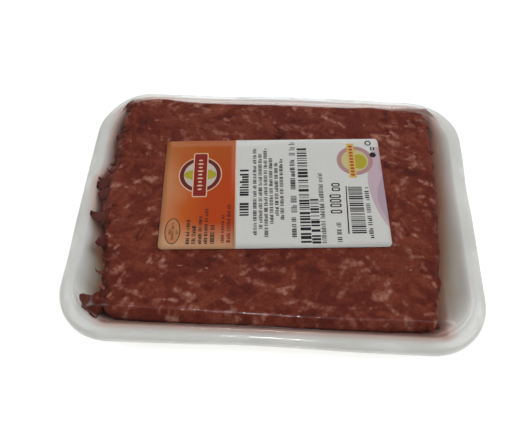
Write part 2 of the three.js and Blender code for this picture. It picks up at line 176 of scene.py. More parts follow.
def roundedRing(halfX, halfY, radius):
    def arcPoint(corner):
        sign = cornerSigns[corner % 4]
        x = sign[:, 0] * (halfX - radius) + radius * np.cos(stationAngle)
        y = sign[:, 1] * (halfY - radius) + radius * np.sin(stationAngle)
        return np.stack([x, y], axis=-1)
    start, end = arcPoint(stationCorner), arcPoint(stationCorner + 1)
    return start + (end - start) * stationAlong[:, None]


def bearing(x, y):
    # degrees round the rim, stretched so that the corners lie at 45, 135, 225 and 315
    return np.degrees(np.arctan2(y / packShape["width"], x / packShape["length"])) % 360


def rimDent(degrees):
    return sum(depth * bell(degrees, at, reach) for at, depth, reach in packShape["rimDents"])


def rimLift(degrees):
    height, at, reach = packShape["rimLift"]
    return height * bell(degrees, at, reach)


def backSwell(x):
    # how far the mince and the film over it swell backwards over the lip
    return sum(distance * bell(x, at, reach) for at, distance, reach in packShape["backSwells"])


def packRing(inset, z):
    # a ring of the pack at an inset from the rim's outline, with the rim's dents and lift
    inset = np.broadcast_to(np.asarray(inset, float), (stationCount,))
    radius = np.maximum(packShape["cornerRadius"] - inset * 0.5, np.minimum(6, halfWidth - inset))
    rim = roundedRing(halfLength, halfWidth, packShape["cornerRadius"])
    degrees = bearing(rim[:, 0], rim[:, 1])
    fade = np.clip(1 - inset / packShape["dentFade"], 0, 1)
    dented = inset + rimDent(degrees) * fade
    plan = roundedRing(halfLength - dented, halfWidth - dented, radius)
    high = np.clip((z - rimHeight / 2) / (rimHeight / 2), 0, 1)
    return np.column_stack([plan, z + rimLift(degrees) * fade * high])


def filmHeight(x, y):
    # the film's level over the mince and its slopes down to the lip
    x, y = np.asarray(x, float), np.asarray(y, float)
    crestInset, slopes = packShape["filmCrest"], packShape["slopes"]
    waves = 0.3 * np.sin(x / 24 + 0.7) * np.cos(y / 20 - 0.4) + 0.15 * np.sin((x + 2 * y) / 33)
    crest = rimHeight + rimLift(bearing(x, y)) * (1 - crestInset / packShape["dentFade"])
    rise = packShape["filmTop"] - rimHeight + 0.6
    height = packShape["filmTop"] + waves
    for distance, reach in (
        (x + halfLength - crestInset, slopes["left"]), (halfLength - crestInset - x, slopes["right"]),
        (y + halfWidth - crestInset, slopes["front"]),
        (halfWidth - crestInset - y, slopes["back"] - packShape["steeperAtSwell"] * backSwell(x)),
    ):
        height = smoothMin(height, crest + rise * distance / reach, packShape["creaseBlend"])
    return height


# Where the block of mince ends at the top, mm. The left edge is torn: places along Y, and its X there.
meatEdges = {
    "left": [(-58, -66.5), (-54, -70), (-51, -71.8), (-47, -71.2), (-40, -70.4), (-30, -70.4),
             (-25, -73.6), (-19, -73.4), (-15, -75), (-11, -77.2), (0, -78.6), (8, -80), (12, -79.4),
             (15, -77.2), (21, -75), (30, -76.6), (45, -76.2), (57, -74.5)],
    "right": (69, 73.5),       # at the front and at the back
    "front": -58.9, "back": 56.4,
}


def meatLeft(y):
    along, reach = np.array(meatEdges["left"]).T
    return np.interp(y, along, reach)


def meatRight(y):
    front, back = meatEdges["right"]
    return front + (back - front) * np.clip((y + 50) / 60, 0, 1)


def meatBack(x):
    return meatEdges["back"] + backSwell(x)


def beyondMeat(x, y):
    # how far a place lies outside the block's edges
    acrossX = np.maximum(np.maximum(meatLeft(y) - x, x - meatRight(y)), 0)
    acrossY = np.maximum(np.maximum(meatEdges["front"] - y, y - meatBack(x)), 0)
    return np.hypot(acrossX, acrossY)


def curvePoints(start, pieces, steps):
    # a section made of straight pieces (end) and quadratic curves (control, end)
    points = [np.array(start, float)]
    for piece in pieces:
        here = points[-1]
        if len(piece) == 2 and np.isscalar(piece[0]):
            points.append(np.array(piece, float))
            continue
        control, end = np.array(piece[0], float), np.array(piece[1], float)
        for t in np.arange(1, steps + 1) / steps:
            points.append((1 - t) ** 2 * here + 2 * t * (1 - t) * control + t ** 2 * end)
    return points


# Foam tray
tray = {
    "skin": 0.15,              # gap between the film's outside and the foam, mm
    "foamThickness": 3.5, "lipInset": 8.8, "wallTop": 24.45, "wallLean": 0.38, "floorCurveTop": 8.8,
    "foamColour": "#ebe9e3", "shadeColour": "#dfddd6",
    # the juice's tint, and painted contact shade that deepens it right next to the mince
    "stainColour": "#cf9c82", "paintedContactShadow": "#9b6756",
    "stainAndShadeReach": 8,           # how far from the mince its juice tints the foam and painted contact shade darkens it, mm
    "stainAndShadeStrength": 0.9, "frontStainAndShadeFade": 1.1,   # the juice tint and the painted shade reach less far over the front lip
    "unevenness": 0.25, "unevenAbove": 12,   # of the lip and wall, and where it starts, mm
    "cellSize": 0.5,           # mm across a cell of the foam's skin
    "innerFloor": 4.05, "base": 0.5, "baseRecess": 1.9,
}


def wallInset(start, z):
    # the tray's wall leans in as it goes down from under the lip
    return start + (tray["wallTop"] - z) * tray["wallLean"]


def makeFoamMaterial():
    # Expanded polystyrene foam, moulded skin: off-white, satin, with a faint grain of flattened cells.
    # Light spreads through it, so its shaded wall stays pale.
    material = newMaterial("expandedPolystyreneMouldedSatin")
    place = addNode(material, "TexCoord").outputs["Object"]
    clouds = addNode(material, "TexNoise", {"Vector": place, "Scale": 1 / (22 * mm), "Detail": 3.0})
    colour = addNode(material, "ValToRGB", {"Fac": clouds}, stops=[
        (0.3, linear(tray["shadeColour"])), (0.7, linear(tray["foamColour"]))])
    # near the mince: the juice's tint, turning into painted contact shade that is darkest next to the mince
    stainAndContactShade = addNode(material, "Attribute", attribute_name="stainAndContactShade").outputs["Fac"]
    juiceTintAndShade = addNode(material, "ValToRGB", {"Fac": stainAndContactShade}, stops=[
        (0.55, linear(tray["stainColour"])), (0.88, linear(tray["paintedContactShadow"]))])
    stained = addNode(material, "Mix", {"Factor": stainAndContactShade, "A": colour, "B": juiceTintAndShade}, data_type="RGBA")
    cells = addNode(material, "TexVoronoi", {
        "Vector": place, "Scale": 1 / (tray["cellSize"] * mm)}, feature="SMOOTH_F1")
    bump = addNode(material, "Bump", {"Height": cells, "Strength": 0.12, "Distance": 0.1 * mm})
    shader = addNode(material, "BsdfPrincipled", {
        "Base Color": stained, "Roughness": 0.5, "IOR": 1.5, "Normal": bump,
        "Subsurface Weight": 0.85, "Subsurface Radius": (1.0, 0.9, 0.8), "Subsurface Scale": 6 * mm})
    addNode(material, "OutputMaterial", {"Surface": shader})
    return material


def traySection():
    # the tray's inner and outer side as pairs of inset and height
    skin, lip = tray["skin"], tray["lipInset"]
    top, floor, curveTop = rimHeight - skin, tray["innerFloor"], tray["floorCurveTop"]
    base, recess = tray["base"], tray["baseRecess"]
    corner = wallInset(lip, floor)
    outer = lip - tray["foamThickness"] + 0.4
    inner = curvePoints((corner + 4.5, floor), [
        ((corner, floor), (wallInset(lip, curveTop), curveTop)),
        (wallInset(lip, 12), 12), (wallInset(lip, 14.5), 14.5), (wallInset(lip, 17), 17),
        ((lip + 0.4, top - 1), (6.6, top))], 14)
    outside = curvePoints((6.5, top), [
        (5.6, top), ((skin + 0.1, top), (skin, 21.8)),
        ((skin, 19.2), (3.2, 19.2)),
        (wallInset(outer, 17.6), 17.6), (wallInset(outer, 11), 11), (wallInset(outer, 4), 4),
        ((wallInset(outer, base), base), (19, base)),
        (25, base), (27, recess), (45, recess)], 9)
    return np.array(inner), np.array(outside)


innerWall, outerWall = traySection()


def makeTray():
    section = [(40, innerWall[0][1]), (30, innerWall[0][1]), *innerWall, *outerWall]
    points = np.concatenate([packRing(inset, z) for inset, z in section])
    # the lip and wall are a little uneven
    x, y, z = points.T
    lift = (noise(x / 15, y / 15) - 0.5) * tray["unevenness"]
    points[:, 2] -= np.abs(lift) * (z > tray["unevenAbove"])
    # juice tint and painted contact shade lie on the inner side and on the first points of the lip, strongest
    # next to the mince
    shows = np.repeat(np.arange(len(section)) < len(innerWall) + 5, stationCount)
    beyond = beyondMeat(x, y) + tray["frontStainAndShadeFade"] * np.maximum(meatEdges["front"] - y, 0)
    stainAndContactShade = smoothStep(tray["stainAndShadeReach"], 0, beyond) * shows * tray["stainAndShadeStrength"]
    return makePiece("foamTray", points, ringFaces(len(section), stationCount), makeFoamMaterial(),
                     "foam_tray", {"stainAndContactShade": stainAndContactShade})


makeTray()
print("tray made")


# Mince
mince = {
    "seed": 11,
    "fieldStep": 0.4,            # mm between samples of the pressed top
    "pressedStrands": 2600, "pressedRadius": (1.3, 2.3), "pressedLength": (4, 12),
    "fatFlecks": 1080, "fleckRadius": (1.0, 1.9), "fleckLength": (1.2, 4.0),
    "looseStrands": 220, "looseRadius": (1.0, 1.5), "looseLength": (5, 11),
    "sideStrands": 420, "sideRadius": (0.9, 1.4), "sideLength": (4, 9),
    "fringeStrands": 60, "fringeRadius": (0.8, 1.6), "fringeLength": (2.5, 5),
    "tubeSides": 8, "tubeSteps": 8,
    "fatPieces": 60, "fatRadius": (0.8, 1.4), "fatLength": (1.2, 3.6),
    "blockColumns": 330, "blockRows": 250, "base": 4.4, "underFilm": 0.35,
    "blockGap": 0.1, "strandGap": 0.3,               # what is left between the meat and the foam, mm
    "edgeRadius": 2.2, "edgeRadiusMore": 2.0,        # of the block's top edge, and the right edge's extra, mm
    "cragDepth": (2.0, 1.2), "cragSize": (4, 1.6),   # coarse and fine notches along the edges, mm
    "sagWidth": (3, 8), "sagDepth": (0.4, 2.4),      # of the torn left edge: least, and what chance adds, mm
    "sideDepth": (3.2, 15),                          # of the side strands: least, and what chance adds, mm
    "sideInward": (1.3, 2.6), "sideInwardRight": 2.0,   # how far they lie in, and the right edge's extra, mm
    "fibre": 1.4, "patch": 13,   # mm across a fibre's shade and a darker patch
    "leanDark": "#501609", "leanMiddle": "#732915", "leanLight": "#8d422c",
    "fatDark": "#a25c49", "fatLight": "#bd8873",
    # painted shade for the hollows between strands and the shaded sides and torn edge
    "paintedShadeColour": "#3c0d06",
}
mixer = np.random.default_rng(mince["seed"])


def insideTray(points, gap):
    # moves points inwards until they are clear of the tray's wall and of its rounded shoulder
    inset = np.interp(points[:, 2], innerWall[:, 1], innerWall[:, 0]) + gap
    dentShare = np.clip(1 - inset / packShape["dentFade"], 0, 1)
    inset += rimDent(bearing(points[:, 0], points[:, 1])) * dentShare
    radius = packShape["cornerRadius"] - inset * 0.5
    signX, signY = np.sign(points[:, 0]), np.sign(points[:, 1])
    overX = np.abs(points[:, 0]) - (halfLength - inset - radius)
    overY = np.abs(points[:, 1]) - (halfWidth - inset - radius)
    far = np.hypot(np.maximum(overX, 0), np.maximum(overY, 0))
    pull = np.where(far > radius, 1 - radius / np.maximum(far, 1e-6), 0)
    points[:, 0] -= signX * np.maximum(overX, 0) * pull
    points[:, 1] -= signY * np.maximum(overY, 0) * pull
    return points


def spread(low, high, count):
    return low + (high - low) * mixer.random(count)


def grain(x, y, scatter):
    # the direction that the mince lies in at a place: slow swirls, and along the block's edge at the right
    swirl = (noise(x / 24, y / 24, 7) - 0.5) * 2.6
    byEdge = 0.8 * smoothStep(56, 68, x)
    return swirl * (1 - byEdge) - 1.1 * byEdge + spread(-scatter, scatter, len(x))


def bentPaths(x, y, z, steps, headings, lengths, bends, tilts=0.0):
    # arcs of a few steps round their centres, each given by its heading, length, bend and tilt
    share = np.linspace(-0.5, 0.5, steps)
    angle = headings[:, None] + bends[:, None] * share
    pathX = np.cumsum(np.cos(angle) * lengths[:, None] / (steps - 1), axis=1)
    pathY = np.cumsum(np.sin(angle) * lengths[:, None] / (steps - 1), axis=1)
    pathX += x[:, None] - pathX.mean(axis=1, keepdims=True)
    pathY += y[:, None] - pathY.mean(axis=1, keepdims=True)
    pathZ = np.reshape(z, (-1, 1)) + np.reshape(tilts, (-1, 1)) * share * lengths[:, None]
    return np.stack([pathX, pathY, pathZ], axis=-1)


def placesOnTop(count, margin):
    # chance places over the block's top, at least a margin from its edges
    x = spread(-82, 76, count * 2)
    y = spread(meatEdges["front"] + margin, meatEdges["back"] + 2 - margin, count * 2)
    keep = (x > meatLeft(y) + margin) & (x < meatRight(y) - margin) & (y < meatBack(x) - margin)
    keep = np.flatnonzero(keep)[:count]
    return x[keep], y[keep]


class PressedTop:
    # The mince's top as the film presses it: how far it lies below the film, its tone, its share
    # of fat. Strands are laid one after the other, each fused to the ones that it crosses.
    def __init__(self, step):
        self.step = step
        self.x = np.arange(-86, 80, step)
        self.y = np.arange(-63, 65, step)
        gridX, gridY = np.meshgrid(self.x, self.y)
        self.height = -0.9 - 0.7 * noise(gridX / 3, gridY / 3, 1)
        self.tone = noise(gridX / 4, gridY / 4, 12)
        self.fat = np.zeros_like(self.height)

    def lay(self, path, radius, level, tone, fat, softness, dome=0.7):
        (x0, y0), (x1, y1) = path.min(axis=0) - radius, path.max(axis=0) + radius
        columns = slice(*np.searchsorted(self.x, (x0, x1)))
        rows = slice(*np.searchsorted(self.y, (y0, y1)))
        x, y = np.meshgrid(self.x[columns], self.y[rows])
        nearest = np.full(x.shape, 1e3)
        for (ax, ay), (bx, by) in zip(path[:-1], path[1:]):
            dx, dy = bx - ax, by - ay
            share = np.clip(((x - ax) * dx + (y - ay) * dy) / (dx * dx + dy * dy + 1e-9), 0, 1)
            nearest = np.minimum(nearest, np.hypot(x - ax - share * dx, y - ay - share * dy))
        ragged = radius * (0.8 + 0.4 * noise(x / 1.6, y / 1.6, 14))
        crown = level + radius * dome * (np.sqrt(np.maximum(1 - (nearest / ragged) ** 2, 0)) - 1)
        here = self.height[rows, columns]
        weight = smoothStep(-softness, softness, crown - here) * (nearest < ragged)
        here += (crown - here) * weight
        self.tone[rows, columns] += (tone - self.tone[rows, columns]) * weight
        if fat:
            weight *= smoothStep(1, 0.25, nearest / ragged)   # the lean's juice hides a fleck's edge
        self.fat[rows, columns] += (fat - self.fat[rows, columns]) * weight

    def soften(self, field):
        for axis in (0, 1):
            field = 0.5 * field + 0.25 * (np.roll(field, 1, axis) + np.roll(field, -1, axis))
        return field

    def sample(self, field, x, y):
        i = np.clip((x - self.x[0]) / self.step, 0, len(self.x) - 1.001)
        j = np.clip((y - self.y[0]) / self.step, 0, len(self.y) - 1.001)
        i0, j0 = i.astype(int), j.astype(int)
        u, v = i - i0, j - j0
        front = field[j0, i0] * (1 - u) + field[j0, i0 + 1] * u
        back = field[j0 + 1, i0] * (1 - u) + field[j0 + 1, i0 + 1] * u
        return front * (1 - v) + back * v


def pressTop():
    top = PressedTop(mince["fieldStep"])
    count = mince["pressedStrands"]
    x, y = spread(-84, 78, count), spread(-60, 62, count)
    paths = bentPaths(x, y, 0, 5, grain(x, y, 0.8), spread(*mince["pressedLength"], count),
                      spread(-1.3, 1.3, count))[..., :2]
    radii = spread(*mince["pressedRadius"], count)
    levels = -0.75 + 1.5 * mixer.random(count) + 0.35 * (noise(x / 12, y / 12, 15) - 0.5)
    tones = mixer.random(count)
    for path, radius, level, tone in zip(paths, radii, levels, tones):
        top.lay(path, radius, level, tone, 0, 0.45)
    count = mince["fatFlecks"]
    x, y = placesOnTop(count, 0.5)
    count = len(x)
    crowd = noise(x / 14, y / 14, 16) > 0.15 + 0.2 * mixer.random(count)
    # a lump of fat at the back left corner
    x, y = x[crowd], y[crowd]
    x = np.concatenate([x, spread(-72, -58, 26)])
    y = np.concatenate([y, spread(50, 58, 26)])
    count = len(x)
    paths = bentPaths(x, y, 0, 4, grain(x, y, 0.9), spread(*mince["fleckLength"], count),
                      spread(-0.7, 0.7, count))[..., :2]
    radii = spread(*mince["fleckRadius"], count)
    for path, radius in zip(paths, radii):
        strength = 0.18 + 0.62 * mixer.random() ** 1.3
        top.lay(path, radius, 0.6 - 0.4 * mixer.random(), 0.5 + 0.5 * mixer.random(), strength, 0.6, 0.3)
    top.height = top.soften(smoothMin(top.height, 0.0, 0.8))
    top.tone, top.fat = top.soften(top.tone), top.soften(top.soften(top.fat))
    return top


def tubeFaces(count, steps, sides):
    # quads along each tube, and a face at both its ends
    first = (np.arange(count) * steps * sides)[:, None]
    start = first[:, :, None] + (np.arange(steps - 1) * sides)[None, :, None]
    k = np.arange(sides)
    after = (k + 1) % sides
    quads = np.stack([start + k, start + after, start + sides + after, start + sides + k], axis=-1)
    caps = np.concatenate([first + k[::-1], first + (steps - 1) * sides + k])
    return quads.reshape(-1, 4).tolist() + caps.tolist()


def strandTubes(paths, radii, sides, levels):
    # closed tubes along paths (count, steps, 3), pressed flat where they meet the film
    count, steps = radii.shape
    along = np.gradient(paths, axis=1)
    along /= np.linalg.norm(along, axis=-1, keepdims=True)
    across = np.stack([-along[..., 1], along[..., 0], np.full(along.shape[:2], 1e-6)], axis=-1)
    across /= np.linalg.norm(across, axis=-1, keepdims=True)
    upward = np.cross(along, across)
    turn = np.arange(sides) / sides * 2 * np.pi
    ring = np.cos(turn)[:, None] * across[:, :, None, :] + np.sin(turn)[:, None] * upward[:, :, None, :]
    points = paths[:, :, None, :] + radii[:, :, None, None] * ring
    ceiling = filmHeight(points[..., 0], points[..., 1]) - levels[:, None, None]
    points[..., 2] = smoothMin(points[..., 2], ceiling, 0.7)
    return points.reshape(-1, 3), tubeFaces(count, steps, sides)


def roundedEnds(radii, steps, sharpness=4):
    # radii along tubes that narrow to a round end on both sides
    share = np.abs(np.linspace(-1, 1, steps))[None, :]
    return radii[:, None] * np.sqrt(1 - 0.93 * share ** sharpness)


def edgeCentres(count):
    # places round the block's sides, with the direction that runs along the edge
    share = mixer.random(count) * 4
    side = share.astype(int)
    t = share - side
    front, back = meatEdges["front"] + 1, meatEdges["back"]
    y = np.where(side == 0, front, np.where(side == 2, back, 0))
    y = np.where(side % 2 == 1, front + t * (back - front), y)
    left, right = meatLeft(y), meatRight(y)
    x = np.where(side == 1, right, np.where(side == 3, left, left + t * (right - left)))
    return x, y, np.where(side % 2 == 1, np.pi / 2, 0.0)


def makeMinceMaterial():
    # Raw minced beef under film: moist lean muscle, dull red-brown, each strand its own shade, with
    # pinkish smears of fat whose edges the lean's juice has stained
    material = newMaterial("rawMincedBeefMoist")
    place = addNode(material, "TexCoord").outputs["Object"]
    tone, fat, paintedShade = (addNode(material, "Attribute", attribute_name=name).outputs["Fac"]
                      for name in ("tone", "fat", "paintedShade"))
    fibre = addNode(material, "TexNoise", {
        "Vector": place, "Scale": 1 / (mince["fibre"] * mm), "Detail": 4.0})
    patches = addNode(material, "TexNoise", {
        "Vector": place, "Scale": 1 / (mince["patch"] * mm), "Detail": 2.0})
    # each strand's own shade, shifted by its fibres and by larger patches
    shade = -0.48
    for source, share in ((fibre, 0.8), (patches, 0.7), (tone, 0.55)):
        shade = addNode(material, "Math", {0: source, 1: share, 2: shade}, operation="MULTIPLY_ADD")
    lean = addNode(material, "ValToRGB", {"Fac": shade}, stops=[
        (0.1, linear(mince["leanDark"])), (0.55, linear(mince["leanMiddle"])),
        (1.0, linear(mince["leanLight"]))])
    fatColour = addNode(material, "ValToRGB", {"Fac": fibre}, stops=[
        (0.3, linear(mince["fatDark"])), (0.7, linear(mince["fatLight"]))])
    stained = addNode(material, "Math", {0: fibre, 1: 0.5, 2: -0.25}, operation="MULTIPLY_ADD")
    fatEdge = addNode(material, "Math", {0: fat, 1: stained}, operation="ADD")
    fatShare = addNode(material, "MapRange", {
        "Value": fatEdge, "From Min": 0.08, "From Max": 0.8}, interpolation_type="SMOOTHSTEP")
    flesh = addNode(material, "Mix", {"Factor": fatShare, "A": lean, "B": fatColour}, data_type="RGBA")
    # painted shade: darkens the hollows between strands, the sagging torn edge and the shaded sides
    colour = addNode(material, "Mix", {
        "Factor": paintedShade, "A": flesh, "B": linear(mince["paintedShadeColour"])}, data_type="RGBA")
    bump = addNode(material, "Bump", {"Height": fibre, "Strength": 0.3, "Distance": 0.2 * mm})
    shader = addNode(material, "BsdfPrincipled", {
        "Base Color": colour, "Roughness": 0.6, "IOR": 1.38, "Specular IOR Level": 0.2, "Normal": bump,
        "Subsurface Weight": 0.12, "Subsurface Radius": (1.0, 0.3, 0.2), "Subsurface Scale": 1.2 * mm})
    addNode(material, "OutputMaterial", {"Surface": shader})
    return material


def makeMeat(name, points, faces, material, tones, fats, paintedShades=0.0):
    # tones, fats and painted shade are given for each point, or for each of equal parts of the piece, or once
    values = {key: np.resize(np.repeat(given, max(len(points) // np.size(given), 1)), len(points))
              for key, given in (("tone", tones), ("fat", fats), ("paintedShade", paintedShades))}
    return makePiece(name, points, faces, material, "minced_meat", values)


def makeMinceBlock(top, material):
    columns, rows, base = mince["blockColumns"], mince["blockRows"], mince["base"]
    u, v = np.meshgrid(np.linspace(-1, 1, columns + 1), np.linspace(-1, 1, rows + 1))
    front, back = meatEdges["front"], meatEdges["back"]
    y = front + (back - front) * (v * (1 - 0.05 * u ** 8) + 1) / 2
    left = meatLeft(y)
    x = left + (meatRight(y) - left) * (u * (1 - 0.04 * v ** 8) + 1) / 2
    y = y + backSwell(x) * np.clip(v, 0, 1) ** 6
    # notches, only near the edges and shallower in the right half
    edge = np.maximum(np.abs(u), np.abs(v)) ** 8
    (coarse, fine), (coarseSize, fineSize) = mince["cragDepth"], mince["cragSize"]
    crag = (noise(x / coarseSize, y / coarseSize, 2) - 0.6) * coarse
    crag = (crag + (noise(x / fineSize, y / fineSize, 8) - 0.5) * fine) * edge
    crag *= 1 - 0.6 * (u > 0)
    x, y = x + crag * u, y + crag * v * 0.4
    fromEdge = np.minimum((1 - np.abs(u)) * 72, (1 - np.abs(v)) * 56)
    roundness = mince["edgeRadius"] + mince["edgeRadiusMore"] * smoothStep(0.5, 1, u)
    overEdge = np.maximum(roundness - fromEdge, 0)
    rounding = roundness - np.sqrt(np.maximum(roundness ** 2 - overEdge ** 2, 0))
    relief = top.sample(top.height, x, y)
    # the torn left edge hangs lower than the film
    (sagWidth, widthMore), (sagDepth, depthMore) = mince["sagWidth"], mince["sagDepth"]
    sag = smoothStep(sagWidth + widthMore * noise(x / 6, y / 6, 23), 0, x - left)
    sag *= sagDepth + depthMore * noise(x / 2.5, y / 2.5, 22)
    z = filmHeight(x, y) - mince["underFilm"] + relief - rounding - sag
    surface = insideTray(np.stack([x, y, z], axis=-1).reshape(-1, 3), mince["blockGap"])
    tone = top.sample(top.tone, x, y).ravel()
    fat = top.sample(top.fat, x, y).ravel()
    # painted shade in the top's hollows and where the torn edge sags
    paintedShade = np.maximum(smoothStep(-0.55, -1.5, relief) * 0.75, smoothStep(0.3, 2.6, sag) * 0.35).ravel()
    index = np.arange((columns + 1) * (rows + 1)).reshape(rows + 1, columns + 1)
    faces = np.stack([index[:-1, :-1], index[:-1, 1:], index[1:, 1:], index[1:, :-1]], axis=-1)
    faces = faces.reshape(-1, 4).tolist()
    rim = np.concatenate([index[0, :-1], index[:-1, -1], index[-1, :0:-1], index[:0:-1, 0]])
    around, total, above = np.arange(len(rim)), len(surface), rim
    points, tones, fats, paintedShades = [surface], [tone], [fat], [paintedShade]
    # rings down the block's sides, at shares of its height
    for share in (0.9, 0.8, 0.68, 0.55, 0.4, 0.25, 0.1, 0):
        ring = surface[rim].copy()
        ring[:, 2] = base + (ring[:, 2] - base) * share
        bulge = (noise(around / 6, share * 11, 5) - 0.5) * 0.02
        ring[:, :2] *= 1 + bulge[:, None]
        points.append(insideTray(ring, mince["blockGap"]))
        tones.append(noise(around / 5, share * 13, 6))
        fats.append(smoothStep(0.7, 0.95, noise(around / 4, share * 17, 9)) * 0.8)
        # painted shade where the side bulges inwards
        paintedShades.append(smoothStep(0.012, -0.012, bulge) * 0.5)
        below = np.arange(total, total + len(rim))
        total += len(rim)
        faces += np.stack([below, np.roll(below, -1), np.roll(above, -1), above], axis=-1).tolist()
        above = below
    faces.append(above[::-1].tolist())
    return makeMeat("minceBlock", np.concatenate(points), faces, material,
                    np.concatenate(tones), np.concatenate(fats), np.concatenate(paintedShades))


def makeLooseStrands(material):
    # strands in the top that the film hasn't pressed quite flat
    sides, steps = mince["tubeSides"], mince["tubeSteps"]
    x, y = placesOnTop(mince["looseStrands"], 3)
    count = len(x)
    radii = spread(*mince["looseRadius"], count)
    levels = spread(0.3, 0.55, count)
    z = filmHeight(x, y) - levels - radii * 0.95
    paths = bentPaths(x, y, z, steps, grain(x, y, 0.9), spread(*mince["looseLength"], count),
                      spread(-1.4, 1.4, count), spread(-0.06, 0.06, count))
    # each strand follows the film's slope along its length
    paths[..., 2] += filmHeight(paths[..., 0], paths[..., 1]) - filmHeight(x, y)[:, None]
    points, faces = strandTubes(paths, roundedEnds(radii, steps), sides, levels)
    return makeMeat("looseStrands", insideTray(points, mince["strandGap"]), faces, material,
                    mixer.random(count), 0.0)


def makeSideStrands(material):
    sides, steps = mince["tubeSides"], mince["tubeSteps"]
    count = mince["sideStrands"]
    x, y, heading = edgeCentres(count)
    radii = spread(*mince["sideRadius"], count)
    sideDepth, depthMore = mince["sideDepth"]
    z = filmHeight(x, y) - sideDepth - mixer.random(count) * depthMore
    inward = spread(*mince["sideInward"], count) + mince["sideInwardRight"] * (x > 60)
    away = np.stack([np.sign(x) * (heading > 0), np.sign(y) * (heading == 0)], axis=-1)
    x, y = x - away[:, 0] * inward, y - away[:, 1] * inward
    headings = heading + spread(-0.3, 0.3, count)
    paths = bentPaths(x, y, z, steps, headings, spread(*mince["sideLength"], count),
                      spread(-0.5, 0.5, count), spread(-0.5, 0.5, count))
    points, faces = strandTubes(paths, roundedEnds(radii, steps), sides, spread(0.4, 0.9, count))
    # an even painted shade on the strands down the block's sides
    return makeMeat("sideStrands", insideTray(points, mince["strandGap"]), faces, material,
                    mixer.random(count) * 0.8, (mixer.random(count) > 0.93) * 0.6, 0.15)


def makeFringe(material):
    # ends of strands that stick out of the torn left edge, under the film's slope
    sides, steps = mince["tubeSides"], mince["tubeSteps"]
    count = mince["fringeStrands"]
    y = spread(-56, 54, count)
    x = meatLeft(y) + spread(0.4, 2.6, count)
    radii = spread(*mince["fringeRadius"], count)
    levels = spread(0.35, 0.6, count)
    paths = bentPaths(x, y, 0, steps, np.pi + spread(-1.2, 1.2, count),
                      spread(*mince["fringeLength"], count), spread(-0.7, 0.7, count))
    below = (levels + radii + spread(0, 1.6, count))[:, None]
    paths[..., 2] += filmHeight(paths[..., 0], paths[..., 1]) - below
    taper = 1 - 0.35 * np.linspace(0, 1, steps)[None, :]
    points, faces = strandTubes(paths, roundedEnds(radii, steps) * taper, sides, levels)
    # an even painted shade on the fringe under the film's slope
    return makeMeat("fringe", insideTray(points, mince["blockGap"]), faces, material,
                    mixer.random(count), (mixer.random(count) > 0.85) * 0.5, 0.3)


# Torn tufts at the left edge: tip x and y, middle of the root x and y, width of the root and
# thickness in mm, and how blunt the tip is
tufts = [
    (-78.0, -48.9, -67.5, -54.6, 8.0, 2.2, 2.0), (-73.6, -37.4, -68.5, -40.0, 1.7, 1.2, 0.9),
    (-76.2, -24.6, -70.5, -23.6, 6.2, 2.6, 2.6), (-84.3, -6.5, -73.5, -12.4, 4.8, 2.6, 1.3),
    (-84.6, 13.1, -76.5, 8.6, 2.6, 1.8, 0.9), (-84.2, 8.3, -76.0, 7.0, 4.8, 2.2, 2.6),
    (-81.0, 2.4, -75.0, 1.0, 6.0, 2.4, 2.0), (-78.8, 15.7, -75.0, 12.4, 1.9, 1.4, 0.9),
]


def makeTufts(material):
    # flat, pointed leaves of torn meat that reach out from the left edge under the film
    steps, sides = 18, 14
    share = np.linspace(0, 1, steps)[:, None]
    turn = np.arange(sides)[None, :] / sides * 2 * np.pi
    points = []
    for tipX, tipY, rootX, rootY, width, thickness, blunt in tufts:
        sideways = np.array([-(tipY - rootY), tipX - rootX])
        sideways /= np.hypot(*sideways)
        bend = 0.8 * np.sin(share * np.pi)
        wave = 0.5 * (noise(share * 5 + tipY, share * 0 + tipX, 3) - 0.5) * share
        x = rootX + (tipX - rootX) * share + sideways[0] * (bend + wave)
        y = rootY + (tipY - rootY) * share + sideways[1] * (bend + wave)
        taper = (1 - share ** blunt * 0.97) ** 0.8
        ragged = 1 + 0.9 * (noise(share * 7 + tipY, turn * 1.1, 5) - 0.5) * np.sin(share * np.pi)
        across = width / 2 * taper * ragged * np.cos(turn)
        x, y = x + sideways[0] * across, y + sideways[1] * across
        up = thickness / 2 * taper * ragged * np.sin(turn)
        z = filmHeight(x, y) - 0.45 - thickness / 2 * taper + up
        z = smoothMin(z, filmHeight(x, y) - 0.4, 0.5)
        # a tuft that reaches the lip lies on the foam
        onFoam = np.minimum(rimHeight - tray["skin"] + 0.04, filmHeight(x, y) - 0.09)
        z = np.where(x < -(halfLength - tray["lipInset"]) + 1, np.maximum(z, onFoam), z)
        points.append(np.stack([x, y, z], axis=-1).reshape(-1, 3))
    points = np.concatenate(points)
    tones = noise(points[:, 0] / 1.5, points[:, 1] / 1.5, 4)
    fats = smoothStep(0.6, 0.95, noise(points[:, 0] / 1.8, points[:, 1] / 1.8, 13)) * 0.3
    # an even painted shade on the tufts at the torn edge
    return makeMeat("tornTufts", points, tubeFaces(len(tufts), steps, sides), material, tones, fats, 0.4)


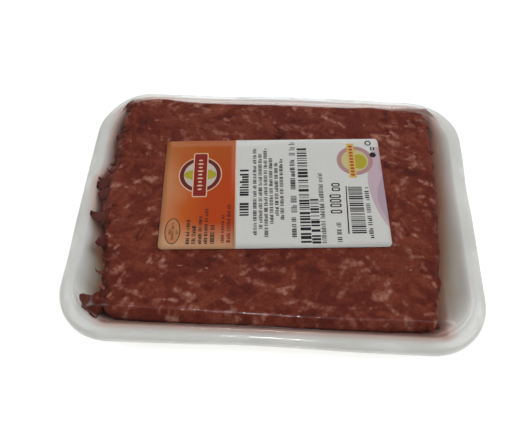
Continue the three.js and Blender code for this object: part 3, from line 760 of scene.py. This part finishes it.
def makeFatPieces(material):
    # the larger bits of fat, which stand a little out of the lean
    steps, sides = 7, 8
    x, y = placesOnTop(mince["fatPieces"], 2)
    count = len(x)
    radii = spread(*mince["fatRadius"], count)
    levels = spread(0.28, 0.42, count)
    z = filmHeight(x, y) - levels - radii * 0.8
    paths = bentPaths(x, y, z, steps, grain(x, y, 0.8), spread(*mince["fatLength"], count) + radii,
                      spread(-1.5, 1.5, count))
    paths[..., 2] += filmHeight(paths[..., 0], paths[..., 1]) - filmHeight(x, y)[:, None]
    points, faces = strandTubes(paths, roundedEnds(radii, steps, 3), sides, levels)
    # the ends are stained more than the middle
    along = np.tile(np.repeat(1 - np.abs(np.linspace(-1, 1, steps)) ** 2 * 0.7, sides), count)
    strength = np.repeat(0.3 + 0.4 * mixer.random(count), sides * steps)
    return makeMeat("fatPieces", insideTray(points, mince["strandGap"]), faces, material,
                    mixer.random(count), along * strength)


minceMaterial = makeMinceMaterial()
makeMinceBlock(pressTop(), minceMaterial)
makeLooseStrands(minceMaterial)
makeSideStrands(minceMaterial)
makeFringe(minceMaterial)
makeTufts(minceMaterial)
makeFatPieces(minceMaterial)
print("mince made")


# Stretch film
film = {
    "inset": 0.03,            # mm inside the solid's outer face
    "haze": 0.006,            # share of light that the film's slight cloudiness scatters
    "faceOnGloss": 0.045,     # share that both faces reflect together, face on
    "bumpDepth": 0.25,        # how far the film sinks between strands, mm
    "pleatDepth": 0.35,       # of the pleats that gather at the corners, mm
    "rippleSize": 9,          # mm across a faint ripple
    "topRings": 60, "underBase": 0.06,
}


def makeFilmMaterial():
    # PVC stretch film, blown: clear, glossy, a trace of cloudiness where it is stretched
    material = newMaterial("stretchFilmClearGloss")
    place = addNode(material, "TexCoord").outputs["Object"]
    ripple = addNode(material, "TexNoise", {
        "Vector": place, "Scale": 1 / (film["rippleSize"] * mm), "Detail": 2.0})
    bump = addNode(material, "Bump", {"Height": ripple, "Strength": 0.25, "Distance": 0.5 * mm})
    clear = addNode(material, "BsdfTransparent", {"Color": (0.985, 0.985, 0.985, 1)})
    cloudy = addNode(material, "BsdfDiffuse", {"Color": (0.9, 0.9, 0.9, 1)})
    body = addNode(material, "MixShader", {
        "Fac": film["haze"], 1: clear, 2: cloudy})
    gloss = addNode(material, "BsdfGlossy", {
        "Color": (1, 1, 1, 1), "Roughness": 0.06, "Normal": bump})
    # a thin sheet reflects alike from both sides: little face on, nearly all at a grazing angle
    facing = addNode(material, "LayerWeight", {"Blend": 0.5, "Normal": bump}).outputs["Facing"]
    grazing = addNode(material, "Math", {0: facing, 1: 5.0}, operation="POWER")
    reflected = addNode(material, "Math", {
        0: grazing, 1: 1 - film["faceOnGloss"], 2: film["faceOnGloss"]}, operation="MULTIPLY_ADD")
    shader = addNode(material, "MixShader", {"Fac": reflected, 1: body, 2: gloss})
    addNode(material, "OutputMaterial", {"Surface": shader})
    return material


def makeFilm(material):
    inset, under, crest = film["inset"], film["underBase"], packShape["filmCrest"]
    rings = []
    # the top, from its middle out to the crest of the lip
    deepest = halfWidth - 1.5
    for share in np.linspace(1, 0, film["topRings"])[:-1]:
        ringInset = crest + (deepest - crest) * share ** 1.35
        ring = packRing(ringInset, rimHeight)
        ring[:, 2] = filmHeight(ring[:, 0], ring[:, 1]) - inset
        rings.append(ring)
    topRings = len(rings)
    side = curvePoints((crest, rimHeight - inset), [
        ((0.1, rimHeight - inset), (inset, 21.7)),
        ((inset, 20), (0.7, 18.6)),
        (2.9, 15.7), (5.2, 12.8), (7.45, 9.8), (9.7, 6.9), (11.9, 4), (14.2, 1),
        ((15, under), (17.5, under)), (22, under), (30, under), (45, under), (60, under)], 8)
    rings += [packRing(at, z) for at, z in side]
    points = np.concatenate(rings)
    # the film sinks a little between the strands
    x, y, z = points.T
    onMeat = (np.arange(len(points)) < topRings * stationCount)
    onMeat &= (x > meatLeft(y) + 1) & (x < meatRight(y) - 1)
    onMeat &= (y > meatEdges["front"] + 1) & (y < meatEdges["back"] - 1)
    sink = film["bumpDepth"] * noise(x / 2.6, y / 2.6, 9)
    points[:, 2] -= np.where(onMeat, sink, 0)
    # pleats gather at the corners and run down the wall
    radius = packShape["cornerRadius"]
    around = np.degrees(np.arctan2(np.abs(y) - (halfWidth - radius), np.abs(x) - (halfLength - radius)))
    pleat = np.abs(np.sin(np.radians(around) * 16 + 3 * noise(x / 30, y / 30, 6)))
    low = smoothStep(22, 6, z) * (z > 0.3)
    pull = film["pleatDepth"] * pleat * bell(around, 45, 30) * low
    outward = points[:, :2] / np.linalg.norm(points[:, :2], axis=1, keepdims=True)
    points[:, :2] -= outward * pull[:, None]
    return makePiece("stretchFilm", points, ringFaces(len(rings), stationCount), material,
                     "film_wrap")


makeFilm(makeFilmMaterial())
print("film made")


# Label
label = {
    "length": 99, "width": 58, "middle": (-0.6, 3.5), "turn": math.radians(3.4),
    "cornerRadius": 2, "thickness": 0.14, "aboveFilm": 0.18, "seed": 21, "gridStep": 3, "washWidth": 32.3,
    "paper": "#dfdad1", "textInk": "#1c1a1b", "stampInk": "#2e211a",
    "orangeBright": "#c05612", "orangeDeep": "#b84000", "ochre": "#a9540c",
    "cream": "#c67e50", "creamPale": "#d2a67c", "peach": "#e6bd9b",
    "redInk": "#8f1f16", "darkRed": "#6d1c19", "yellowInk": "#b5a428", "badgePale": "#cdbcab",
    "lavender": "#ccb0b5", "lavenderDeep": "#b89ea7", "pinkInk": "#b98a86",
    "paleYellow": "#cfc184", "bandYellow": "#d6b35a", "bandRed": "#b2452a",
}
draw = np.random.default_rng(label["seed"])


def labelPlace(u, v):
    # from the label's own millimetres to the pack's
    du, dv = u - label["length"] / 2, v - label["width"] / 2
    c, s = math.cos(label["turn"]), math.sin(label["turn"])
    return label["middle"][0] + du * c - dv * s, label["middle"][1] + du * s + dv * c


def rectangle(u0, v0, u1, v1):
    return [(u0, v0), (u1, v0), (u1, v1), (u0, v1)]


def roundedRectangle(u0, v0, u1, v1, radius, steps=5):
    corners = [(u1 - radius, v1 - radius), (u0 + radius, v1 - radius),
               (u0 + radius, v0 + radius), (u1 - radius, v0 + radius)]
    outline = []
    for quarter, (u, v) in enumerate(corners):
        for k in range(steps + 1):
            angle = (quarter + k / steps) * math.pi / 2
            outline.append((u + radius * math.cos(angle), v + radius * math.sin(angle)))
    return outline


def ellipse(u, v, radiusU, radiusV, steps=40):
    turns = [2 * math.pi * k / steps for k in range(steps)]
    return [(u + radiusU * math.cos(t), v + radiusV * math.sin(t)) for t in turns]


def textColumn(shapes, u0, u1, v0, v1, ink, stroke=0.5, gap=0.3, words=(3, 9)):
    # stands in for a line of print that runs up the label: upright strokes grouped into words
    v = v0
    while v < v1:
        for _ in range(int(draw.integers(*words))):
            if v + stroke > v1:
                break
            low = u0 + (u1 - u0) * (0.0 if draw.random() < 0.8 else 0.25)
            shapes.append((rectangle(low, v, u1, v + stroke * (0.7 + 0.6 * draw.random())), ink))
            v += stroke + gap
        v += gap * 2.2


def numberRow(shapes, u0, u1, places, width, stroke=0.7):
    # stands in for large numerals that run up the label: plain upright rings
    for v in places:
        hole = (u0 + stroke, v + stroke * 0.8, u1 - stroke, v + width - stroke * 0.8)
        shapes.append((roundedRectangle(u0, v, u1, v + width, width * 0.4), "textInk"))
        shapes.append((roundedRectangle(*hole, 0.15), "paper"))


def barStrip(shapes, u0, u1, v0, v1, ink, thin=0.3, thick=1.2):
    # stands in for a bar code: bars of chance widths across the strip
    v = v0
    while v < v1:
        width = thin + (thick - thin) * draw.random() ** 2
        shapes.append((rectangle(u0, v, u1, min(v + width, v1)), ink))
        v += width + thin + (thick - thin) * 0.8 * draw.random() ** 2


def printShapes():
    # fields of colour, back to front: outline in label millimetres and ink
    wide, high, wash = label["length"], label["width"], label["washWidth"]
    shapes = [(rectangle(0, 0, wash, high), "orange"), (rectangle(wash, 0, wash + 0.6, high), "peach")]
    # round badge
    shapes += [(ellipse(16.4, 38.6, size, size), ink)
               for size, ink in ((9.9, "peach"), (9.4, "darkRed"), (7.5, "badgePale"))]
    shapes += [(ellipse(16.4, 38.6, 7.4, 3.2), "yellowInk"),
               (roundedRectangle(13.0, 26.4, 19.8, 50.8, 0.9), "peach"),
               (roundedRectangle(13.5, 26.9, 19.3, 50.3, 0.6), "redInk")]
    for k in range(9):
        shapes.append((ellipse(16.4, 30.6 + k * 2, 1.0 + 0.4 * (k % 2), 0.45, 12), "peach"))
    # oval stamp
    shapes += [(ellipse(5.7, 8.9, 3.4, 6.5), "stampInk"), (ellipse(5.7, 8.9, 3.0, 6.1), "cream")]
    for u, v0, v1 in ((4.0, 7.4, 10.2), (5.2, 4.6, 13.2), (7.1, 7.6, 10.0)):
        textColumn(shapes, u, u + 1.1, v0, v1, "stampInk", 0.3, 0.35)
    # small print on the colour
    for u, v1, width in ((11.6, 15, 1.5), (14, 12.5, 1.8), (16.8, 16.5, 1.5), (19.3, 20.5, 1.5),
                         (21.9, 12, 1.9)):
        textColumn(shapes, u, u + width, 2.4, v1, "stampInk")
    textColumn(shapes, 26.6, 27.9, 3, 17, "darkRed")
    textColumn(shapes, 28.9, 30.6, 3, 22, "darkRed", 0.55, 0.28)
    # title and body print
    textColumn(shapes, 34.4, 38.4, 16.2, 24.6, "textInk", 0.95, 0.42, (5, 6))
    textColumn(shapes, 34.4, 38.4, 26.6, 42, "textInk", 0.95, 0.42, (9, 10))
    for u, v0, v1 in ((40.3, 6.5, 53), (42.8, 9.5, 50), (45.2, 5.5, 53.5), (47.6, 12, 47), (50, 16, 45),
                      (52.3, 14, 46.5)):
        textColumn(shapes, u, u + 1.6, v0, v1, "textInk")
    textColumn(shapes, 57, 59, 5.2, 15.5, "textInk", 0.52, 0.34)
    textColumn(shapes, 57, 59.6, 17.5, 27.5, "textInk", 0.5, 0.5, (4, 5))
    textColumn(shapes, 57.2, 59.4, 29.5, 46, "textInk", 0.6)
    textColumn(shapes, 57, 59.8, 48.5, 57.2, "textInk", 0.5, 0.5, (2, 3))
    barStrip(shapes, 60.7, 65.2, 2.4, 53.6, "textInk", 0.35, 1.6)
    barStrip(shapes, 65.4, 69.2, 2.0, 24.4, "textInk", 0.35, 1.9)
    textColumn(shapes, 69.5, 71.6, 2.2, 38.5, "textInk", 0.46, 0.4, (8, 14))
    # net weight
    textColumn(shapes, 76.2, 78.2, 2.6, 13.8, "textInk", 0.5, 0.4, (3, 4))
    numberRow(shapes, 74.2, 79.2, (16.6, 19.8, 22.2, 24.6), 1.9)
    numberRow(shapes, 75.4, 79.2, (28.2, 30.6), 2.0)
    # bar code with its number column
    shapes.append(([(80.9, 6.4), (81.5, 6.4), (82.2, 30.9), (81.7, 30.9)], "textInk"))
    barStrip(shapes, 82.7, 88.9, 6.6, 30.6, "textInk", 0.26, 0.8)
    textColumn(shapes, 89.9, 91.8, 4.2, 30.4, "textInk", 0.55, 0.5, (5, 6))
    # lavender sweep at the right edge
    sweep = [(wide - 5.8 * math.sin(math.pi * t) ** 0.8 - 2.2 * t, 9 + 44 * t)
             for t in np.linspace(0, 1, 24)]
    shapes.append(([(wide, 9)] + sweep[1:] + [(wide, 53)], "lavender"))
    inner = [(wide - 3.6 * math.sin(math.pi * t) ** 1.3, 11 + 27 * t) for t in np.linspace(0, 1, 18)]
    shapes.append(([(wide, 11)] + inner[1:-1] + [(wide, 38)], "lavenderDeep"))
    # second round badge with a plain band
    shapes += [(ellipse(87.2, 45.2, 8.3, 8.3), "pinkInk"), (ellipse(87.2, 45.2, 6.2, 6.2), "paleYellow"),
               (ellipse(89.2, 44.6, 3.4, 4.2), "yellowInk"),
               (roundedRectangle(84.0, 35.4, 87.4, 55.2, 0.4), "bandYellow")]
    for k in range(10):
        shapes.append((roundedRectangle(84.8, 36.6 + k * 1.8, 86.6, 37.7 + k * 1.8, 0.3, 2), "bandRed"))
    # small signs in the corner
    shapes += [(ellipse(94.2, 55.4, 1.5, 1.5, 20), "textInk"), (ellipse(94.2, 55.4, 0.9, 0.9, 20), "paper"),
               (roundedRectangle(95.0, 51.0, 95.7, 53.2, 0.2, 2), "textInk"),
               (roundedRectangle(96.2, 51.2, 96.9, 53.0, 0.2, 2), "textInk"),
               (ellipse(95.8, 48.4, 1.5, 1.5, 20), "textInk")]
    return shapes


def makeInk(material, place, colour):
    # an even ink or the bare paper, with faint fibre flecks, drawn coarser than real ones so that they show
    fibre = addNode(material, "TexNoise", {"Vector": place, "Scale": 1 / (1.2 * mm), "Detail": 3.0})
    darker = tuple(c * 0.9 for c in colour[:3]) + (1,)
    return addNode(material, "Mix", {"Factor": fibre, "A": colour, "B": darker}, data_type="RGBA")


def makeOrangeWash(material, place):
    # a printed wash: cream at the left and foot, orange above, red-orange at the right
    wave = addNode(material, "TexNoise", {"Vector": place, "Scale": 1 / (18 * mm), "Detail": 1.0})
    split = addNode(material, "SeparateXYZ", {"Vector": place})
    # distance from the label's left end and foot, in shares of the wash
    leftEnd = label["middle"][0] - label["length"] / 2
    foot = label["middle"][1] - label["width"] / 2
    across = addNode(material, "MapRange", {
        "Value": split.outputs["X"], "From Min": leftEnd * mm, "From Max": (leftEnd + 31) * mm})
    upward = addNode(material, "MapRange", {
        "Value": split.outputs["Y"], "From Min": foot * mm, "From Max": (foot + label["width"]) * mm})
    bend = addNode(material, "Math", {0: wave, 1: 0.5, 2: across}, operation="MULTIPLY_ADD")
    colour = addNode(material, "ValToRGB", {"Fac": bend}, stops=[
        (0.28, linear(label["cream"])), (0.62, linear(label["orangeBright"])),
        (0.95, linear(label["orangeDeep"]))])
    for low, high, ink in ((0.2, 0.0, "creamPale"), (0.62, 0.95, "ochre")):
        share = addNode(material, "MapRange", {
            "Value": upward, "From Min": low, "From Max": high, "To Max": 0.75})
        colour = addNode(material, "Mix", {
            "Factor": share, "A": colour, "B": linear(label[ink])}, data_type="RGBA")
    return colour


def makePaperMaterial(ink):
    # Coated paper, printed: smooth, with a soft sheen over paper and ink alike
    finish = {"paper": "White", "orange": "OrangeWash"}.get(ink, ink[0].upper() + ink[1:])
    material = newMaterial("coatedPaper" + finish)
    place = addNode(material, "TexCoord").outputs["Object"]
    if ink == "orange":
        colour = makeOrangeWash(material, place)
    else:
        colour = makeInk(material, place, linear(label[ink]))
    shader = addNode(material, "BsdfPrincipled", {
        "Base Color": colour, "Roughness": 0.5, "IOR": 1.45, "Specular IOR Level": 0.3})
    addNode(material, "OutputMaterial", {"Surface": shader})
    return material


def makeLabel():
    outline = roundedRectangle(0, 0, label["length"], label["width"], label["cornerRadius"])
    shapes = printShapes()
    inks = ["paper"] + sorted({ink for _, ink in shapes} - {"paper"})
    points, polygons = [], []
    for polygon in [outline] + [shape for shape, _ in shapes]:
        around = sum(a[0] * b[1] - b[0] * a[1] for a, b in zip(polygon, polygon[1:] + polygon[:1]))
        polygon = polygon if around > 0 else polygon[::-1]
        polygons.append(list(range(len(points), len(points) + len(polygon))))
        points += [Vector((min(max(u, 0), label["length"]), min(max(v, 0), label["width"])))
                   for u, v in polygon]
    # a grid of points lets the paper follow the film's curves
    step = label["gridStep"]
    for u in np.arange(step, label["length"] - 1, step):
        for v in np.arange(step, label["width"] - 1, step):
            points.append(Vector((float(u), float(v))))
    flat, _, triangles, _, _, owners = delaunay_2d_cdt(points, [], polygons, 1, 1e-5)
    # of the shapes that a triangle lies in, the last is on top; shape 0 is the label's outline
    kept, slots = [], []
    for triangle, owner in zip(triangles, owners):
        if 0 not in owner:
            continue
        top = max(owner)
        kept.append(list(triangle))
        slots.append(inks.index(shapes[top - 1][1] if top else "paper"))
    uv = np.array([(p.x, p.y) for p in flat])
    x, y = labelPlace(uv[:, 0], uv[:, 1])
    z = filmHeight(x, y) + label["aboveFilm"]
    piece = makePiece("paperLabel", np.column_stack([x, y, z]), kept, makePaperMaterial("paper"),
                      "paper_label")
    for ink in inks[1:]:
        piece.data.materials.append(makePaperMaterial(ink))
    piece.data.polygons.foreach_set("material_index", slots)
    solid = piece.modifiers.new("thickness", "SOLIDIFY")
    solid.thickness = label["thickness"] * mm
    solid.offset = -1
    return piece


makeLabel()
print("label made")


# Floor, light and camera
studio = {
    "floorColour": "#f2f1ee", "floorPatch": "#f4f3f1", "floorGlow": 0.54, "floorHalf": 4,
    "skyColour": "#dfe4ea", "skyStrength": 0.16,
    # bright parts of the room: name, direction, angles in degrees where it starts and is full, strength
    "roomLights": [
        ("rightWindow", (0.65, 0.0, 0.76), 28, 12, 3.6),
        ("leftWindow", (-0.6, 0.05, 0.8), 24, 10, 2.7),
        ("backWindow", (0.0, 0.93, 0.37), 24, 10, 4.8),
        ("skylight", (0.1, -0.1, 1.0), 28, 8, 0.4),
    ],
    # darker parts: the one that the film mirrors over the mince, and the room in front of the pack
    "darkParts": [((0, 0.515, 0.857), 32, 20, -0.96), ((0, -0.94, 0.34), 58, 34, -0.85)],
    # a lamp over the pack: place, size, power and the height that it is aimed at
    "softbox": ("overheadSoftbox", (-0.045, -0.29, 0.97), (0.23, 0.03), 0.9, 0.015),
    # camera: place in mm, angles in degrees
    "cameraPlace": (2.907, -145.264, 249.819), "elevation": 58.309, "azimuth": 3.748, "roll": -0.983,
    "focalPixels": 593.79, "imageWidth": 520, "sensor": 36,
}


def makeFloor():
    # Painted board, matt: an even pale surface that glows a little, as over a light table
    material = newMaterial("paintedBoardPaleMatt")
    place = addNode(material, "TexCoord").outputs["Object"]
    patches = addNode(material, "TexNoise", {"Vector": place, "Scale": 1 / (40 * mm), "Detail": 2.0})
    colour = addNode(material, "Mix", {
        "Factor": patches, "A": linear(studio["floorColour"]), "B": linear(studio["floorPatch"])},
        data_type="RGBA")
    shader = addNode(material, "BsdfPrincipled", {
        "Base Color": colour, "Roughness": 0.9, "Specular IOR Level": 0.1,
        "Emission Color": (1, 1, 1, 1), "Emission Strength": studio["floorGlow"]})
    addNode(material, "OutputMaterial", {"Surface": shader})
    mesh = bpy.data.meshes.new("floor")
    half = studio["floorHalf"]
    corners = [(-half, -half, 0), (half, -half, 0), (half, half, 0), (-half, half, 0)]
    mesh.from_pydata(corners, [], [(0, 1, 2, 3)])
    mesh.materials.append(material)
    floor = bpy.data.objects.new("floor", mesh)
    scene.collection.objects.link(floor)
    return floor


def makeSky():
    world = bpy.data.worlds.new("softRoom")
    world.use_nodes = True
    world.node_tree.nodes.clear()
    direction = addNode(world, "TexCoord").outputs["Generated"]

    def roomPart(towards, start, full, strength, base):
        towards = Vector(towards).normalized()
        closeness = addNode(world, "VectorMath", {0: direction, 1: towards}, operation="DOT_PRODUCT")
        share = addNode(world, "MapRange", {
            "Value": closeness.outputs["Value"], "From Min": math.cos(math.radians(start)),
            "From Max": math.cos(math.radians(full))}, interpolation_type="SMOOTHSTEP")
        return addNode(world, "Math", {0: share, 1: strength, 2: base}, operation="MULTIPLY_ADD")

    light = studio["skyStrength"]
    for _, *part in studio["roomLights"]:
        light = roomPart(*part, light)
    for part in studio["darkParts"]:
        darker = roomPart(*part, 1)
        light = addNode(world, "Math", {0: light, 1: darker}, operation="MULTIPLY")
    background = addNode(world, "Background", {
        "Color": linear(studio["skyColour"]), "Strength": light})
    addNode(world, "OutputWorld", {"Surface": background})
    scene.world = world


def makeSoftbox():
    name, place, size, power, aim = studio["softbox"]
    light = bpy.data.lights.new(name, "AREA")
    light.shape = "RECTANGLE"
    light.size, light.size_y = size
    light.energy = power
    lamp = bpy.data.objects.new(name, light)
    lamp.location = place
    lamp.rotation_euler = (Vector((0, 0, aim)) - Vector(place)).to_track_quat("-Z", "Y").to_euler()
    scene.collection.objects.link(lamp)


def makeCamera():
    elevation, azimuth, roll = (math.radians(studio[key]) for key in ("elevation", "azimuth", "roll"))
    level = math.cos(elevation)
    back = Vector((math.sin(azimuth) * level, -math.cos(azimuth) * level, math.sin(elevation)))
    right = Vector((math.cos(azimuth), math.sin(azimuth), 0))
    up = back.cross(right)
    sideways = right * math.cos(roll) + up * math.sin(roll)
    upright = up * math.cos(roll) - right * math.sin(roll)
    view = bpy.data.cameras.new("camera")
    view.sensor_fit = "HORIZONTAL"
    view.sensor_width = studio["sensor"]
    view.lens = studio["focalPixels"] / studio["imageWidth"] * studio["sensor"]
    view.clip_start = 0.01
    camera = bpy.data.objects.new("camera", view)
    turn = Matrix((sideways, upright, back)).transposed().to_4x4()
    camera.matrix_world = Matrix.Translation(Vector(studio["cameraPlace"]) * mm) @ turn
    scene.collection.objects.link(camera)
    scene.camera = camera


makeFloor()
makeSky()
makeSoftbox()
makeCamera()
scene.view_settings.view_transform = "Standard"
print("stage made")
